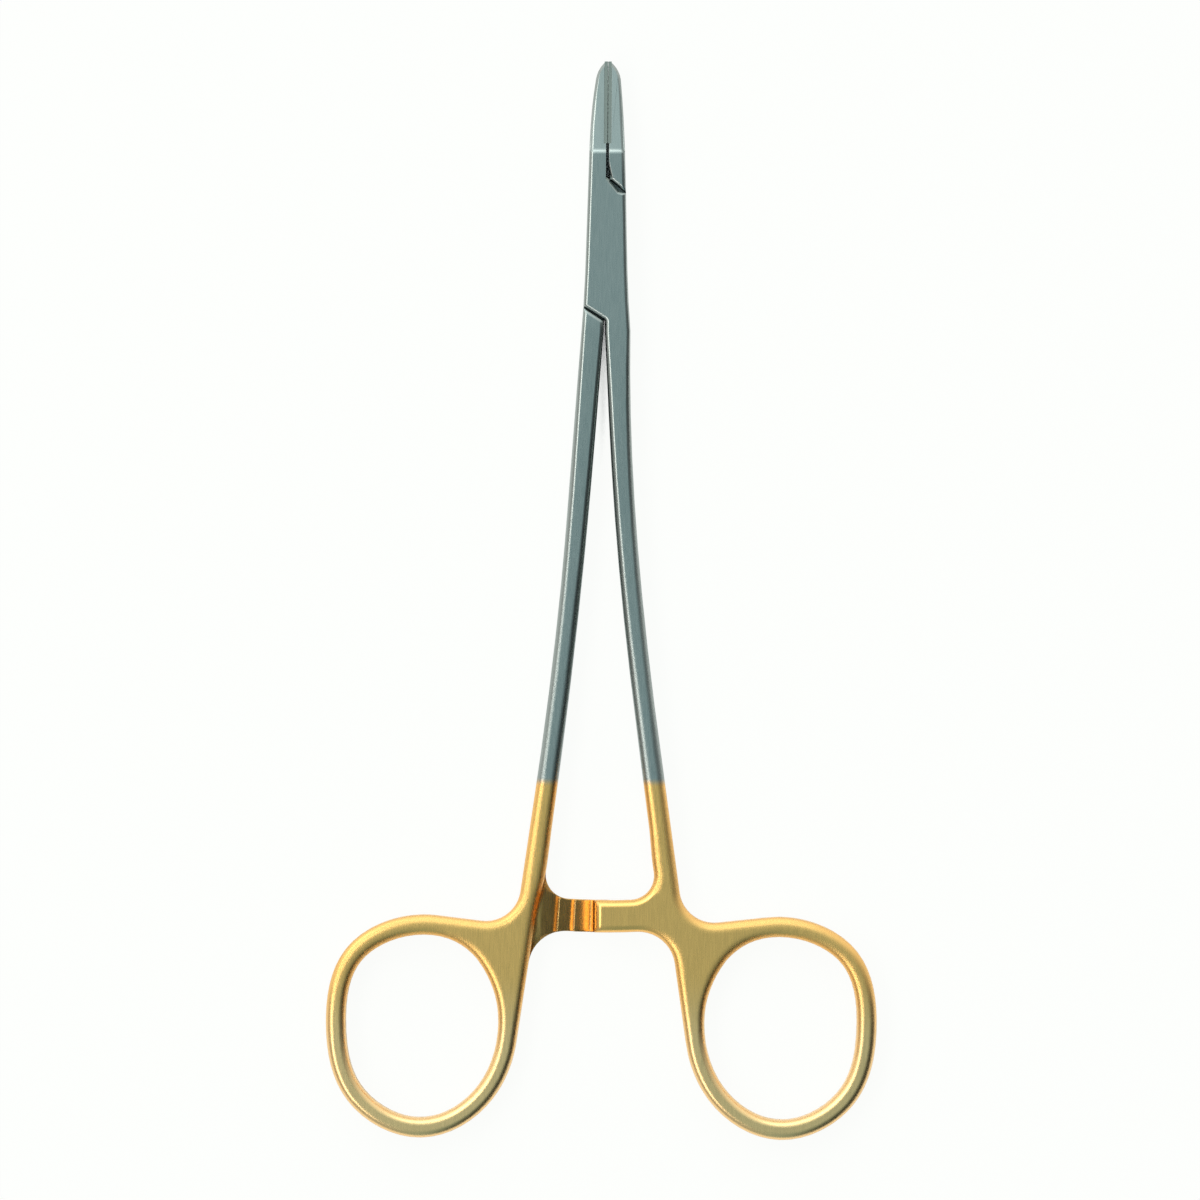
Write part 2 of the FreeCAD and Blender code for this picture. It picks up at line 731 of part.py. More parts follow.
def teeth(body, half, name):
    """Ratchet teeth, each square to the bar and so turned about the hinge."""
    crest_z = at.front_bar_low if half == BOX else at.back_bar_high
    root_z = crest_z + half * at.tooth_deep
    crest = -half * at.tooth_lead
    profile = loop([(crest, crest_z), (crest, root_z), (crest + half * at.tooth_pitch, crest_z)])
    sketch = sketch_on(body, name + "_gap_plan", "XZ_Plane", profile, "teeth_near")
    gap = cut(body, name + "_gap", sketch, "teeth_run", reverse=True)
    axis = [item for item in body.Origin.OriginFeatures if item.Role == "Z_Axis"][0]
    pattern = body.newObject("PartDesign::PolarPattern", name)
    pattern.Originals = [gap]
    pattern.Axis = (axis, [""])
    pattern.setExpression("Angle", "sizes.teeth_angle")
    pattern.setExpression("Occurrences", "sizes.tooth_count")
    pattern.Reversed = half == TONGUE
    body.Tip = pattern
    doc.recompute()


def handle(half, name):
    """Lower shank, web, finger ring and ratchet bar.

    The box half's bar lies in front, flush with its shank, and the other one lies behind.
    """
    body = new_body(name)
    pad(body, name + "_blank", handle_plan(half), "handle_high", "handle_low")
    corner = outer_corner(half)
    dress(body, "Fillet", name + "_web", "web_out_round", lambda edge: stands_at(edge, corner))
    low, high = {BOX: ("front_bar_low", "handle_high"), TONGUE: ("handle_low", "back_bar_high")}[half]
    pad(body, name + "_bar", bar_plan(half), high, low)
    dress(body, "Fillet", name + "_bar_top", "bar_top_round", bar_corner(half, at.bar_near))
    dress(body, "Fillet", name + "_bar_foot", "web_in_round", bar_corner(half, at.bar_far))
    hole = sketch_on(body, name + "_hole_plan", "XY_Plane", [ring_curve(half, 0.0)], "handle_low")
    cut(body, name + "_hole", hole, "handle_thick", reverse=True)
    dress(body, "Chamfer", name + "_rim", "handle_bevel", handle_rim)
    teeth(body, half, name + "_teeth")
    return body


# Pin and inserts

def hinge_pin():
    pin = doc.addObject("Part::Cylinder", "hinge_pin")
    pin.Label = "hinge_pin"
    pin.setExpression("Radius", "sizes.pin_dia / 2")
    pin.setExpression("Height", "sizes.lock_thick")
    return pin


def insert(side, name):
    """A carbide strip that fills its seat and takes the jaw's taper and tip."""
    body = new_body(name)
    inner, outer = beside_seam(side, at.insert_in), beside_seam(side, at.insert_out)
    outline = loop([
        (inner, at.insert_station),
        (outer, at.insert_station),
        (outer, at.seat_end),
        (inner, at.tip_station),
    ])
    pad(body, name + "_blank", outline, "lock_thick")
    taper(body)
    return body


def half_of(name, parts):
    """One forging made of its lock, shank and handle."""
    whole = doc.addObject("Part::MultiFuse", name)
    whole.Label = name
    whole.Shapes = parts
    whole.Refine = True
    return whole


def check(pieces):
    doc.recompute()
    for item in doc.Objects:
        if "Invalid" in item.State or "Error" in item.State:
            raise RuntimeError(f"{item.Label}: {item.getStatusString()}")
    for piece in pieces:
        if piece.Shape.isNull() or not piece.Shape.isValid():
            raise RuntimeError(piece.Label + " has a bad shape")
        print(piece.Label, len(piece.Shape.Solids), round(piece.Shape.Volume, 2))


pieces = [
    half_of("box_half", [box_lock(), shank(BOX, "box_shank"), handle(BOX, "box_handle")]),
    half_of("tongue_half", [tongue_lock(), shank(TONGUE, "tongue_shank"), handle(TONGUE, "tongue_handle")]),
    hinge_pin(),
    insert(-1, "left_jaw_insert"),
    insert(1, "right_jaw_insert"),
]
check(pieces)

os.makedirs("parts", exist_ok=True)
for piece in pieces:
    piece.Shape.exportStep(os.path.join("parts", piece.Label + ".step"))
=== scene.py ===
"""Surgical needle holder, closed, lying on its back on a white studio table.

The two halves are satin-brushed stainless steel with gold-plated handles, and the jaws carry
cross-serrated tungsten carbide inserts.
"""

import json
import math

import bpy
from bpy.props import FloatProperty, FloatVectorProperty, PointerProperty
from bpy.types import NodeSocket, Operator, Panel, PropertyGroup
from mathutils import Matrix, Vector

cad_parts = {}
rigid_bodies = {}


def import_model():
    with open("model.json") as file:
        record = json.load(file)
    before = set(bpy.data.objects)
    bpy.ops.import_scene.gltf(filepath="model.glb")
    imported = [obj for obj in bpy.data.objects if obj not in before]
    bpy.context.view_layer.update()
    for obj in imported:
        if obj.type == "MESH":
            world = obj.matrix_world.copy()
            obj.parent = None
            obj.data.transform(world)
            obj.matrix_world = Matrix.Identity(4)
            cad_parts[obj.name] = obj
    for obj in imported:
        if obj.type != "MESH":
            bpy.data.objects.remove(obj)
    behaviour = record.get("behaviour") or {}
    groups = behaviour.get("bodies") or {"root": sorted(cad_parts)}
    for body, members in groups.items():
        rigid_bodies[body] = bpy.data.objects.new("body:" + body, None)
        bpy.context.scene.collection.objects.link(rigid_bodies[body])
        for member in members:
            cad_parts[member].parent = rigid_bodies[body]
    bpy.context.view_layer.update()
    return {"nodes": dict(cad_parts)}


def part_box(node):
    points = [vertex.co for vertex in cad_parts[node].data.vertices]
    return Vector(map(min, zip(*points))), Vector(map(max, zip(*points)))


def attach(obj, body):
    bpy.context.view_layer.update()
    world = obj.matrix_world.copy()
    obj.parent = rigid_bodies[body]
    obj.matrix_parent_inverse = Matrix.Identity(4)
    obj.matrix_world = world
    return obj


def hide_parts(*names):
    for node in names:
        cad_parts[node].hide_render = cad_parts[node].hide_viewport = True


bl_info = {
    "name": "Surgical Needle Holder",
    "version": (1, 0, 0),
    "blender": (4, 5, 0),
    "location": "3D View > Sidebar > Needle Holder",
    "description": "Dresses the needle holder and sets up its studio",
    "category": "Object",
}

for leftover in list(bpy.data.objects):
    bpy.data.objects.remove(leftover)

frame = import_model()

MM = 0.001
HALVES = ("box_half", "tongue_half")
BOX_BODY, TONGUE_BODY = "box_body", "tongue_body"
BODY_OF_HALF = {"box_half": BOX_BODY, "tongue_half": TONGUE_BODY}


def linear(hex_code):
    """An sRGB hex colour as linear red, green and blue."""
    channels = [int(hex_code[start:start + 2], 16) / 255 for start in (1, 3, 5)]
    return [c / 12.92 if c <= 0.04045 else ((c + 0.055) / 1.055) ** 2.4 for c in channels]


def colour_property(label, hex_code, text):
    return FloatVectorProperty(
        name=label, description=text, subtype="COLOR", size=3, min=0.0, max=1.0,
        default=linear(hex_code),
    )


def length_property(label, millimetres, text):
    return FloatProperty(
        name=label, description=text, default=millimetres * MM, min=0.0, precision=5,
        subtype="DISTANCE", unit="LENGTH",
    )


class FinishSettings(PropertyGroup):
    """Edges, brushing and colours of the two halves."""

    steel: colour_property("Steel", "#a3aba7", "Bare stainless steel")
    gold: colour_property("Gold", "#ffc877", "Gold plating of the handles")
    ring_gold: colour_property("Ring gold", "#ffd597", "Gold plating of the rings, which is paler")
    plating_start: length_property("Plating start", 64.4, "Where the plating starts, below the hinge")
    plating_blend: length_property("Plating blend", 1.1, "Width over which the plating fades in")
    lock_round: length_property("Lock edges", 0.2, "Rounding of the edges of the lock and the shanks")
    handle_round: length_property("Handle edges", 0.3, "Rounding of the edges of the handles")
    tooth_round: length_property("Tooth edges", 0.05, "Rounding of the edges of the ratchet teeth")
    brush_pitch: length_property("Brush pitch", 0.1, "Spacing of the brush lines that show")
    brush_run: length_property("Brush run", 2.2, "Length of a brush line")
    handle_soft: length_property("Softness", 1.0, "Reach of the polish over the edges, at its widest")
    # Painted shade: the colour of grooves narrower than this is darkened
    crevice_shade: length_property("Crevices", 0.8, "Width of the grooves that are darkened")


class InsertSettings(PropertyGroup):
    """Carbide inserts."""

    carbide: colour_property("Carbide", "#828c86", "Ground tungsten carbide")
    tooth_pitch: length_property("Serration pitch", 0.36, "Spacing of the cross serrations")
    tooth_deep: length_property("Serration depth", 0.035, "Depth of the cross serrations")


class StudioSettings(PropertyGroup):
    """Table, lamps and camera."""

    table: colour_property("Table", "#fefffd", "Table and background")
    left_power: FloatProperty(
        name="Left lamp", description="Power of the long softbox on the left", default=4.5,
        min=0.0, unit="POWER",
    )
    far_power: FloatProperty(
        name="Far lamp", description="Power of the softbox beyond the jaws", default=0.9,
        min=0.0, unit="POWER",
    )
    view_wide: length_property("Picture width", 144.98, "Width of the picture at the instrument")
    view_roll: FloatProperty(
        name="Roll", description="Turn of the camera", default=math.radians(0.39),
        subtype="ANGLE", unit="ROTATION",
    )


# Materials

# A colour mix's sockets share their names with those of its other data types: these are their numbers
MIX_A, MIX_B, MIX_RESULT = 6, 7, 2

# Most of a noise's values lie in this range
NOISE_LOW, NOISE_HIGH = 0.3, 0.7

# Shade and roughness from the dark lines of the brushing to the light ones, and the lines' relief
LINE_SHADE = (0.96, 1.04)
LINE_GLOSS = (0.24, 0.3)
LINE_RELIEF, LINE_DEEP = 0.35, 0.004 * MM
# Pitch of the lines in the plane over their pitch up the sides
LINE_UP = 0.3

# The carbide's grain and the range of its roughness
GRAIN = 0.08 * MM
GRAIN_GLOSS = (0.42, 0.56)

# Painted shade in narrow grooves and round the root of the lower ratchet bar: how open a place is
# where that shade is darkest and where it is plain, and the share of colour left at its darkest
CREVICE_SHADE_OPENNESS = (0.15, 0.65, 0.15)
ROOT_SHADE_OPENNESS = (0.5, 1.0, 0.6)
ROOT_SHADE_REACH = 3 * MM

# Middle and half sizes of an oval, and where it fades out as shares of those half sizes:
# the root of the lower ratchet bar, where shade is painted, and both ratchet bars
ROOT_SHADE_OVAL = ((-7.2 * MM, -80.5 * MM), (2.6 * MM, 4.5 * MM), (0.75, 1.1))
BARS_OVAL = ((0.0, -80.5 * MM), (7.4 * MM, 4.5 * MM), (0.95, 1.15))

# Places along the instrument, from the hinge, between which the gold turns paler
RING_GOLD = (-87 * MM, -97 * MM)

# Share of the polish's reach along the instrument, from just below the lock to the rings' ends,
# and on the ratchet bars
SOFT_SPAN = (-12 * MM, -108 * MM)
SOFT_STOPS = ((0.0, 0.0), (0.5, 0.55), (0.72, 1.0), (0.88, 0.4), (1.0, 0.35))
BARS_SOFT = 0.2


def add_node(tree, kind, settings=None, inputs=None):
    """A node with its settings, and its inputs set to a value or linked from another node's socket."""
    node = tree.nodes.new(kind)
    for name, value in (settings or {}).items():
        setattr(node, name, value)
    for name, value in (inputs or {}).items():
        if isinstance(value, NodeSocket):
            tree.links.new(value, node.inputs[name])
        else:
            node.inputs[name].default_value = value
    return node


def new_material(name):
    material = bpy.data.materials.new(name)
    material.use_nodes = True
    material.node_tree.nodes.clear()
    return material, material.node_tree


def set_stops(ramp, stops):
    """Gives a colour ramp its stops with smooth blends between them, and returns its colour."""
    ramp.color_ramp.interpolation = "EASE"
    elements = ramp.color_ramp.elements
    while len(elements) < len(stops):
        elements.new(0.5)
    for element, (position, colour) in zip(elements, stops):
        element.position = position
        element.color = (*colour, 1.0)
    return ramp.outputs["Color"]


def openness(tree, reach, closed, opened, least=0.0):
    """1 on open surfaces, falling to the least deep in grooves narrower than the reach."""
    around = add_node(tree, "ShaderNodeAmbientOcclusion", {"samples": 4}, {"Distance": reach})
    share = add_node(tree, "ShaderNodeMapRange", {"interpolation_type": "SMOOTHSTEP"}, {
        "Value": around.outputs["AO"], "From Min": closed, "From Max": opened, "To Min": least,
    })
    return share.outputs["Result"]


def inside_oval(tree, place, middle, half_sizes, fade):
    """1 inside an oval round a place on the table plane, falling to 0 across the fade."""
    scaled = add_node(tree, "ShaderNodeMapping", {"vector_type": "TEXTURE"}, {
        "Vector": place, "Location": (*middle, 0.0), "Scale": (*half_sizes, 1.0),
    })
    flat = add_node(tree, "ShaderNodeVectorMath", {"operation": "MULTIPLY"}, {
        0: scaled.outputs["Vector"], 1: (1.0, 1.0, 0.0),
    })
    distance = add_node(
        tree, "ShaderNodeVectorMath", {"operation": "LENGTH"}, {0: flat.outputs["Vector"]},
    )
    share = add_node(tree, "ShaderNodeMapRange", {"interpolation_type": "SMOOTHSTEP"}, {
        "Value": distance.outputs["Value"], "From Min": fade[0], "From Max": fade[1],
        "To Min": 1.0, "To Max": 0.0,
    })
    return share.outputs["Result"]


def brush_lines(tree, pitch, run):
    """The place on the piece, and fine lines along the instrument as a grey value about 0.5.

    A real belt's lines are finer: these are drawn as coarse as they need to be to show.
    """
    place = add_node(tree, "ShaderNodeTexCoord").outputs["Object"]
    stretched = add_node(tree, "ShaderNodeMapping", inputs={
        "Vector": place, "Scale": (1 / pitch, 1 / run, LINE_UP / pitch),
    })
    lines = add_node(tree, "ShaderNodeTexNoise", inputs={
        "Vector": stretched.outputs["Vector"], "Scale": 1.0, "Detail": 4.0, "Roughness": 0.6,
    })
    return place, lines.outputs["Fac"]


def plated_colour(tree, along, finish):
    """Bare steel that turns to gold at the handles, and to paler gold on the rings."""
    start, blend = finish.plating_start, finish.plating_blend
    share = add_node(tree, "ShaderNodeMapRange", {"interpolation_type": "SMOOTHSTEP"}, {
        "Value": along, "From Min": blend / 2 - start, "From Max": -blend / 2 - start,
    })
    paler = add_node(tree, "ShaderNodeMapRange", inputs={
        "Value": along, "From Min": RING_GOLD[0], "From Max": RING_GOLD[1],
    })
    gold = add_node(tree, "ShaderNodeValToRGB", inputs={"Fac": paler.outputs["Result"]})
    coat = add_node(tree, "ShaderNodeMix", {"data_type": "RGBA"}, {
        "Factor": share.outputs["Result"],
        MIX_A: (*finish.steel, 1.0),
        MIX_B: set_stops(gold, ((0.0, finish.gold), (1.0, finish.ring_gold))),
    })
    return coat.outputs[MIX_RESULT]


def polished_normal(tree, place, along, finish):
    """The surface's normal, softened round the edges as far as the polish reaches there."""
    down = add_node(tree, "ShaderNodeMapRange", inputs={
        "Value": along, "From Min": SOFT_SPAN[0], "From Max": SOFT_SPAN[1],
    })
    ramp = add_node(tree, "ShaderNodeValToRGB", inputs={"Fac": down.outputs["Result"]})
    share = set_stops(ramp, [(position, (soft,) * 3) for position, soft in SOFT_STOPS])
    reach = add_node(tree, "ShaderNodeMath", {"operation": "MULTIPLY"}, {
        0: share, 1: finish.handle_soft,
    })
    off_bars = add_node(tree, "ShaderNodeMapRange", inputs={
        "Value": inside_oval(tree, place, *BARS_OVAL), "To Min": 1.0, "To Max": BARS_SOFT,
    })
    radius = add_node(tree, "ShaderNodeMath", {"operation": "MULTIPLY"}, {
        0: reach.outputs["Value"], 1: off_bars.outputs["Result"],
    })
    rounded = add_node(tree, "ShaderNodeBevel", {"samples": 4}, {"Radius": radius.outputs["Value"]})
    return rounded.outputs["Normal"]


def brushed_steel(finish, plated):
    """Stainless steel finished with a fine belt: satin, with soft lines along the instrument.

    The plated handles keep those lines under their gold. Shade is painted into the colour in narrow
    grooves and round the root of the lower ratchet bar.
    """
    name = "Belt-brushed stainless steel" + (", gold-plated handles" if plated else "")
    material, tree = new_material(name)
    place, lines = brush_lines(tree, finish.brush_pitch, finish.brush_run)
    along = add_node(tree, "ShaderNodeSeparateXYZ", inputs={"Vector": place}).outputs["Y"]
    metal = plated_colour(tree, along, finish) if plated else (*finish.steel, 1.0)
    line_shade = add_node(tree, "ShaderNodeMapRange", inputs={
        "Value": lines, "From Min": NOISE_LOW, "From Max": NOISE_HIGH,
        "To Min": LINE_SHADE[0], "To Max": LINE_SHADE[1],
    })
    # Painted shade: the colour darkens round the root of the lower ratchet bar, where it is less open
    root_shade = add_node(tree, "ShaderNodeMapRange", inputs={
        "Value": inside_oval(tree, place, *ROOT_SHADE_OVAL),
        "To Min": 1.0, "To Max": openness(tree, ROOT_SHADE_REACH, *ROOT_SHADE_OPENNESS),
    })
    # Painted shade: the colour darkens in grooves narrower than the crevice reach
    groove_shade = add_node(tree, "ShaderNodeMath", {"operation": "MULTIPLY"}, {
        0: openness(tree, finish.crevice_shade, *CREVICE_SHADE_OPENNESS), 1: root_shade.outputs["Result"],
    })
    shade = add_node(tree, "ShaderNodeMath", {"operation": "MULTIPLY"}, {
        0: line_shade.outputs["Result"], 1: groove_shade.outputs["Value"],
    }).outputs["Value"]
    grey = add_node(tree, "ShaderNodeCombineColor", inputs={
        "Red": shade, "Green": shade, "Blue": shade,
    })
    shaded = add_node(tree, "ShaderNodeMix", {"data_type": "RGBA", "blend_type": "MULTIPLY"}, {
        "Factor": 1.0, MIX_A: metal, MIX_B: grey.outputs["Color"],
    })
    gloss = add_node(tree, "ShaderNodeMapRange", inputs={
        "Value": lines, "From Min": NOISE_LOW, "From Max": NOISE_HIGH,
        "To Min": LINE_GLOSS[0], "To Max": LINE_GLOSS[1],
    })
    relief = add_node(tree, "ShaderNodeBump", inputs={
        "Strength": LINE_RELIEF, "Distance": LINE_DEEP, "Height": lines,
        "Normal": polished_normal(tree, place, along, finish),
    })
    shader = add_node(tree, "ShaderNodeBsdfPrincipled", inputs={
        "Metallic": 1.0,
        "Base Color": shaded.outputs[MIX_RESULT],
        "Roughness": gloss.outputs["Result"],
        "Normal": relief.outputs["Normal"],
    })
    add_node(tree, "ShaderNodeOutputMaterial", inputs={"Surface": shader.outputs["BSDF"]})
    return material


def ground_carbide(settings):
    """Sintered tungsten carbide, ground with a diamond wheel: duller and warmer than the steel.

    Its real grain is far finer: this one is drawn as coarse as it needs to be to show.
    """
    material, tree = new_material("Ground tungsten carbide")
    place = add_node(tree, "ShaderNodeTexCoord").outputs["Object"]
    grain = add_node(tree, "ShaderNodeTexNoise", inputs={
        "Vector": place, "Scale": 1 / GRAIN, "Detail": 3.0,
    })
    gloss = add_node(tree, "ShaderNodeMapRange", inputs={
        "Value": grain.outputs["Fac"], "From Min": NOISE_LOW, "From Max": NOISE_HIGH,
        "To Min": GRAIN_GLOSS[0], "To Max": GRAIN_GLOSS[1],
    })
    shader = add_node(tree, "ShaderNodeBsdfPrincipled", inputs={
        "Metallic": 1.0,
        "Base Color": (*settings.carbide, 1.0),
        "Roughness": gloss.outputs["Result"],
    })
    add_node(tree, "ShaderNodeOutputMaterial", inputs={"Surface": shader.outputs["BSDF"]})
    return material


# Modelling helpers

# Corners closer than this are one corner, and faces within this angle are one face
WELD = 0.03 * MM
FLAT = math.radians(0.4)

# Edges above this angle are rounded, and ones above the other stay sharp in the shading
SHARP = math.radians(20)
SMOOTH = math.radians(32)
ROUND_STEPS = 3
FLAT_WEIGHT = 80


def deselect_all():
    for item in bpy.context.selected_objects:
        item.select_set(False)


def activate(item):
    deselect_all()
    item.select_set(True)
    bpy.context.view_layer.objects.active = item


def copy_of_node(node_name, name):
    """A free copy of a CAD node's mesh, with its loose triangles merged."""
    mesh = frame["nodes"][node_name].data.copy()
    mesh.materials.clear()
    piece = bpy.data.objects.new(name, mesh)
    bpy.context.scene.collection.objects.link(piece)
    activate(piece)
    bpy.ops.mesh.customdata_custom_splitnormals_clear()
    bpy.ops.object.mode_set(mode="EDIT")
    bpy.ops.mesh.select_all(action="SELECT")
    bpy.ops.mesh.remove_doubles(threshold=WELD)
    bpy.ops.mesh.dissolve_limited(angle_limit=FLAT)
    bpy.ops.mesh.select_all(action="SELECT")
    bpy.ops.mesh.remove_doubles(threshold=WELD)
    bpy.ops.object.mode_set(mode="OBJECT")
    return piece


def paint(piece, material):
    piece.data.materials.clear()
    piece.data.materials.append(material)


# The two halves

# Round the hinge pin's flush ends nothing is rounded
PIN_REACH = 1.2 * MM

# The handles start here, their ratchet bars reach this far from the centre plane, and what lies
# between these heights is their inside
HANDLE_TOP = -62 * MM
BAR_SIDE = 4.6 * MM
HANDLE_SIDES = (0.95 * MM, 3.45 * MM)

# The lock's inside lies between these heights, and this far along from the hinge
LOCK_SIDES = (0.35 * MM, 4.05 * MM)
SLOT_REACH = 12.0 * MM

# The jaws meet within this distance of the centre plane
JAW_SIDE = 0.9 * MM

# The rounding ends here below the tip and grows over this length
TIP, TIP_TAPER = 21.4 * MM, 7.0 * MM

# The box's notch lies past this side of the centre plane, between these places
NOTCH_SIDE, NOTCH = 0.3 * MM, (6.0 * MM, 9.2 * MM)


def edge_rounding(node, middle, finish):
    """How far the edge at this place of a half is rounded."""
    if math.hypot(middle.x, middle.y) < PIN_REACH:
        return 0.0
    if middle.y < HANDLE_TOP:
        on_bar = abs(middle.x) < BAR_SIDE
        if HANDLE_SIDES[0] < middle.z < HANDLE_SIDES[1]:
            return finish.tooth_round if on_bar else 0.0
        return finish.handle_round
    in_notch = node == "box_half" and middle.x > NOTCH_SIDE and NOTCH[0] < middle.y < NOTCH[1]
    inside = LOCK_SIDES[0] < middle.z < LOCK_SIDES[1]
    taper = min(max((TIP - middle.y) / TIP_TAPER, 0.0), 1.0)
    meeting = middle.y > 0 and abs(middle.x) < JAW_SIDE
    if meeting or in_notch or inside and abs(middle.y) < SLOT_REACH:
        return finish.tooth_round * taper
    return finish.lock_round * taper


def round_edges(piece, node, finish):
    """Rounds each sharp edge by an amount that follows its place."""
    mesh = piece.data
    normals = {}
    for face in mesh.polygons:
        for key in face.edge_keys:
            normals.setdefault(key, []).append(face.normal)
    widest = finish.handle_round
    weights = mesh.attributes.new("bevel_weight_edge", "FLOAT", "EDGE")
    for edge in mesh.edges:
        pair = normals.get(edge.key, [])
        if len(pair) == 2 and pair[0].angle(pair[1], 0.0) > SHARP:
            ends = [mesh.vertices[index].co for index in edge.vertices]
            middle = (ends[0] + ends[1]) / 2
            weights.data[edge.index].value = edge_rounding(node, middle, finish) / widest
    bevel = piece.modifiers.new("Rounded edges", "BEVEL")
    bevel.limit_method = "WEIGHT"
    bevel.width = widest
    bevel.segments = ROUND_STEPS
    bevel.use_clamp_overlap = False
    bevel.loop_slide = False
    bevel.miter_outer = "MITER_ARC"
    bpy.ops.object.modifier_apply(modifier=bevel.name)


def smooth(piece):
    """Smooth shading that keeps the flat faces flat."""
    activate(piece)
    bpy.ops.object.shade_smooth_by_angle(angle=SMOOTH)
    flat = piece.modifiers.new("Flat faces", "WEIGHTED_NORMAL")
    flat.keep_sharp = True
    flat.weight = FLAT_WEIGHT
    bpy.ops.object.modifier_apply(modifier=flat.name)


class NEEDLEHOLDER_OT_halves(Operator):
    """Round the edges of the two halves and give them their brushed and gold-plated finish"""

    bl_idname = "needleholder.halves"
    bl_label = "Dress Halves"

    def execute(self, context):
        finish = context.scene.needleholder_finish
        metal = brushed_steel(finish, plated=True)
        for node in HALVES:
            piece = copy_of_node(node, node + "_rounded")
            round_edges(piece, node, finish)
            smooth(piece)
            paint(piece, metal)
            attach(piece, BODY_OF_HALF[node])
            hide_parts(node)
        return {"FINISHED"}


class NEEDLEHOLDER_OT_pin(Operator):
    """Give the flush hinge pin the finish of the lock around it"""

    bl_idname = "needleholder.pin"
    bl_label = "Dress Hinge Pin"

    def execute(self, context):
        pin = frame["nodes"]["hinge_pin"]
        pin.material_slots[0].material = brushed_steel(context.scene.needleholder_finish, plated=False)
        return {"FINISHED"}


# Carbide inserts

# Corners this close to a face of the CAD's strip lie on it
ON_FACE = 0.02 * MM

# Corners closer than the first are on the cutting plane, and closer than the second are one corner
CUT_EXACT = 0.0001 * MM
CUT_WELD = 0.001 * MM

# The grooves slant this much, and their field is this much longer than the strip, so that it still
# covers it once it is turned
GROOVE_TURN = math.radians(45)
FIELD_COVER = 1.5

# First depth of the strip's sides, before they are flattened onto its seat
SIDE_START = 0.2 * MM


def insert_ends(node_name, seat):
    """Heights of the insert's back and front at the tip, and where its seat ends."""
    corners = [vertex.co for vertex in frame["nodes"][node_name].data.vertices]
    end = max(corner.y for corner in corners)
    tip = [corner.z for corner in corners if corner.y > end - ON_FACE]
    seat_end = max(corner.y for corner in corners if abs(corner.x - seat) < ON_FACE)
    return min(tip), max(tip), seat_end


def cut_away(point, normal):
    """Cuts the whole mesh at a plane and keeps the side that the normal points away from."""
    bpy.ops.mesh.select_all(action="SELECT")
    bpy.ops.mesh.bisect(
        plane_co=point, plane_no=normal, clear_outer=True, clear_inner=False, threshold=CUT_EXACT,
    )


def serrated_insert(node_name, name, side, settings):
    """A strip whose meeting face is a field of small pyramids, cut by crossed slanting grooves.

    The pyramids stand on the CAD's meeting face, so they reach into the gap of the closed jaws.
    """
    low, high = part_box(node_name)
    meet, seat = (low.x, high.x) if side > 0 else (high.x, low.x)
    tip_low, tip_high, seat_end = insert_ends(node_name, seat)
    middle = Vector((meet, (low.y + high.y) / 2, (low.z + high.z) / 2))
    span = (high.y - low.y) * FIELD_COVER
    cells = round(span / settings.tooth_pitch)
    deselect_all()
    bpy.ops.mesh.primitive_grid_add(
        x_subdivisions=cells, y_subdivisions=cells, size=cells * settings.tooth_pitch,
        location=middle, rotation=(0.0, side * math.radians(-90), 0.0),
    )
    piece = bpy.context.object
    piece.name = name
    bpy.ops.object.transform_apply(location=True, rotation=True, scale=True)
    bpy.ops.object.mode_set(mode="EDIT")
    bpy.ops.mesh.select_all(action="SELECT")
    bpy.ops.transform.rotate(value=GROOVE_TURN, orient_axis="X", center_override=middle)
    bpy.ops.mesh.poke(offset=settings.tooth_deep)
    slope_high = (tip_high - high.z) / (high.y - low.y)
    slope_low = (tip_low - low.z) / (high.y - low.y)
    cut_away((meet, low.y, 0.0), (0.0, -1.0, 0.0))
    fall = Vector((side * (high.y - seat_end), abs(seat - meet), 0.0)).normalized()
    cut_away((meet, high.y, 0.0), fall)
    cut_away((meet, low.y, high.z), (0.0, -slope_high, 1.0))
    cut_away((meet, low.y, low.z), (0.0, slope_low, -1.0))
    bpy.ops.mesh.select_all(action="DESELECT")
    bpy.ops.mesh.select_mode(type="EDGE")
    bpy.ops.mesh.select_non_manifold(extend=False)
    bpy.ops.mesh.extrude_edges_move(
        TRANSFORM_OT_translate={"value": (side * SIDE_START, 0.0, 0.0)},
    )
    bpy.ops.transform.resize(value=(0.0, 1.0, 1.0), center_override=(seat, middle.y, middle.z))
    bpy.ops.mesh.edge_face_add()
    bpy.ops.mesh.select_all(action="SELECT")
    bpy.ops.mesh.remove_doubles(threshold=CUT_WELD)
    bpy.ops.mesh.normals_make_consistent(inside=False)
    bpy.ops.object.mode_set(mode="OBJECT")
    return piece


class NEEDLEHOLDER_OT_inserts(Operator):
    """Model the two cross-serrated carbide inserts in their seats"""

    bl_idname = "needleholder.inserts"
    bl_label = "Model Carbide Inserts"

    def execute(self, context):
        settings = context.scene.needleholder_insert
        carbide = ground_carbide(settings)
        seats = (("left_jaw_insert", -1, BOX_BODY), ("right_jaw_insert", 1, TONGUE_BODY))
        for node, side, body in seats:
            piece = serrated_insert(node, node + "_serrated", side, settings)
            paint(piece, carbide)
            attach(piece, body)
            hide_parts(node)
        return {"FINISHED"}


# Studio

# The middle of the picture, halfway up the lock
AIM = Vector((-0.50 * MM, -42.41 * MM, 2.2 * MM))
TABLE_WIDE = 6.0
CAMERA_HEIGHT = 1.2
SENSOR_WIDE = 36.0
VIEW_END = 50.0

# Each lamp's place from the middle of the picture, its size and its colour
LEFT_LAMP = ((-0.52, 0.05, 0.9), (1.4, 0.35), "#fffaf6")
FAR_LAMP = ((0.0, 0.85, 0.75), (0.7, 0.35), "#ffffff")

